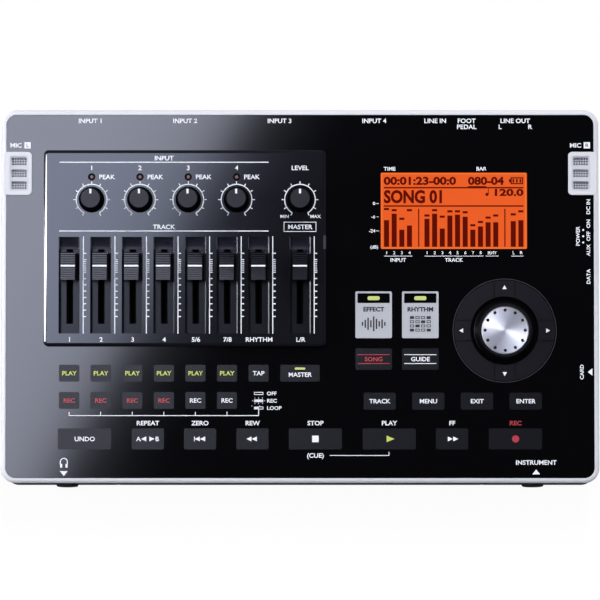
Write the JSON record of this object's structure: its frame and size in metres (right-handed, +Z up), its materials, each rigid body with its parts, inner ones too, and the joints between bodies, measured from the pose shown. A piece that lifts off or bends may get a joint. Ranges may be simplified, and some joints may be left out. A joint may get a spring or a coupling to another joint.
{
  "type": "digital multitrack recorder",
  "caption": "Desktop recorder with a sloping black panel in a silver rim, slide faders, level knobs, a jog dial, touch keys, an orange display and audio jacks.",
  "frame": {"origin": "on the table under the middle of the recorder", "axes": "+X to the right of the panel, +Y to the rear, +Z up"},
  "size_m": [0.257, 0.1611, 0.0469],
  "materials": {
    "case_plastic": "fine-grained black moulding",
    "silver_paint": "silver satin paint",
    "gloss_black": "polished black",
    "mixer_black": "polished black",
    "display_glass": "clear window",
    "display_cell": "backlit orange cell",
    "mic_steel": "perforated sheet",
    "capsule_metal": "plain",
    "circuit_board": "solder mask",
    "jack_plastic": "black moulding",
    "jack_chrome": "nickel plate",
    "shell_steel": "tinned sheet",
    "lamp_lens": "coloured lens",
    "key_matte": "fine matte print",
    "mode_silver": "light grey satin",
    "foot_rubber": "matte",
    "cell_wrap": "printed wrap without lettering",
    "screw_steel": "black zinc",
    "card_plastic": "moulded",
    "cap_plastic": "ribbed moulding",
    "dial_metal": "turned face"
  },
  "bodies": {
    "chassis": {"lower_case": "case_plastic", "silver_frame": "silver_paint", "top_panel": "gloss_black", "mixer_panel": "mixer_black", "display_window": "display_glass", "display_module": "display_cell", "mic_meshes": "mic_steel", "mic_capsules": "capsule_metal", "main_board": "circuit_board", "panel_boards": "circuit_board", "input_jacks": "jack_plastic", "line_in_jack": "jack_plastic", "phone_jacks": "jack_plastic", "line_out_jacks": "jack_chrome", "dc_jack": "jack_plastic", "usb_port": "shell_steel", "card_socket": "shell_steel", "power_switch_body": "shell_steel", "fader_bodies": "shell_steel", "pot_bodies": "shell_steel", "encoder_body": "shell_steel", "cursor_pads": "key_matte", "indicator_lamps": "lamp_lens", "touch_keys": "key_matte", "mode_plates": "mode_silver", "rubber_feet": "foot_rubber", "batteries": "cell_wrap", "battery_contacts": "shell_steel", "case_screws": "screw_steel"},
    "battery_cover": {"battery_cover": "case_plastic"},
    "power_switch": {"power_switch_knob": "cap_plastic"},
    "memory_card": {"memory_card": "card_plastic"},
    "jog_dial": {"dial_skirt": "gloss_black", "dial_cap": "dial_metal"},
    "fader_1": {"fader_cap_1": "cap_plastic", "fader_lever_1": "cap_plastic"},
    "fader_2": {"fader_cap_2": "cap_plastic", "fader_lever_2": "cap_plastic"},
    "fader_3": {"fader_cap_3": "cap_plastic", "fader_lever_3": "cap_plastic"},
    "fader_4": {"fader_cap_4": "cap_plastic", "fader_lever_4": "cap_plastic"},
    "fader_5": {"fader_cap_5": "cap_plastic", "fader_lever_5": "cap_plastic"},
    "fader_6": {"fader_cap_6": "cap_plastic", "fader_lever_6": "cap_plastic"},
    "fader_7": {"fader_cap_7": "cap_plastic", "fader_lever_7": "cap_plastic"},
    "fader_8": {"fader_cap_8": "cap_plastic", "fader_lever_8": "cap_plastic"},
    "knob_1": {"knob_1": "cap_plastic", "pot_shaft_1": "capsule_metal"},
    "knob_2": {"knob_2": "cap_plastic", "pot_shaft_2": "capsule_metal"},
    "knob_3": {"knob_3": "cap_plastic", "pot_shaft_3": "capsule_metal"},
    "knob_4": {"knob_4": "cap_plastic", "pot_shaft_4": "capsule_metal"},
    "knob_5": {"knob_5": "cap_plastic", "pot_shaft_5": "capsule_metal"}
  },
  "joints": [
    {"name": "fader_1_slide", "type": "slide", "parent": "chassis", "child": "fader_1", "axis": [0, 0.9962, 0.0872], "range_m": [-0.0222, 0.0058]},
    {"name": "fader_2_slide", "type": "slide", "parent": "chassis", "child": "fader_2", "axis": [0, 0.9962, 0.0872], "range_m": [-0.0222, 0.0058]},
    {"name": "fader_3_slide", "type": "slide", "parent": "chassis", "child": "fader_3", "axis": [0, 0.9962, 0.0872], "range_m": [-0.0222, 0.0058]},
    {"name": "fader_4_slide", "type": "slide", "parent": "chassis", "child": "fader_4", "axis": [0, 0.9962, 0.0872], "range_m": [-0.0222, 0.0058]},
    {"name": "fader_5_slide", "type": "slide", "parent": "chassis", "child": "fader_5", "axis": [0, 0.9962, 0.0872], "range_m": [-0.0222, 0.0058]},
    {"name": "fader_6_slide", "type": "slide", "parent": "chassis", "child": "fader_6", "axis": [0, 0.9962, 0.0872], "range_m": [-0.0222, 0.0058]},
    {"name": "fader_7_slide", "type": "slide", "parent": "chassis", "child": "fader_7", "axis": [0, 0.9962, 0.0872], "range_m": [-0.0222, 0.0058]},
    {"name": "fader_8_slide", "type": "slide", "parent": "chassis", "child": "fader_8", "axis": [0, 0.9962, 0.0872], "range_m": [-0.0222, 0.0058]},
    {"name": "knob_1_turn", "type": "hinge", "parent": "chassis", "child": "knob_1", "pos_m": [-0.0895, 0.04102, 0.0366], "axis": [0, -0.0872, 0.9962], "range_deg": [-150, 150]},
    {"name": "knob_2_turn", "type": "hinge", "parent": "chassis", "child": "knob_2", "pos_m": [-0.06875, 0.04102, 0.0366], "axis": [0, -0.0872, 0.9962], "range_deg": [-150, 150]},
    {"name": "knob_3_turn", "type": "hinge", "parent": "chassis", "child": "knob_3", "pos_m": [-0.048, 0.04102, 0.0366], "axis": [0, -0.0872, 0.9962], "range_deg": [-150, 150]},
    {"name": "knob_4_turn", "type": "hinge", "parent": "chassis", "child": "knob_4", "pos_m": [-0.02725, 0.04102, 0.0366], "axis": [0, -0.0872, 0.9962], "range_deg": [-150, 150]},
    {"name": "knob_5_turn", "type": "hinge", "parent": "chassis", "child": "knob_5", "pos_m": [0, 0.04102, 0.0366], "axis": [0, -0.0872, 0.9962], "range_deg": [-150, 150]},
    {"name": "jog_dial_turn", "type": "hinge", "parent": "chassis", "child": "jog_dial", "pos_m": [0.0879, -0.01474, 0.02921], "axis": [0, -0.0872, 0.9962], "continuous": true},
    {"name": "power_switch_slide", "type": "slide", "parent": "chassis", "child": "power_switch", "axis": [0, 1, 0], "range_m": [-0.0054, 0]},
    {"name": "battery_cover_slide", "type": "slide", "parent": "chassis", "child": "battery_cover", "axis": [0, -1, 0], "range_m": [0, 0.012]},
    {"name": "memory_card_slide", "type": "slide", "parent": "chassis", "child": "memory_card", "axis": [1, 0, 0], "range_m": [0, 0.03]}
  ]
}
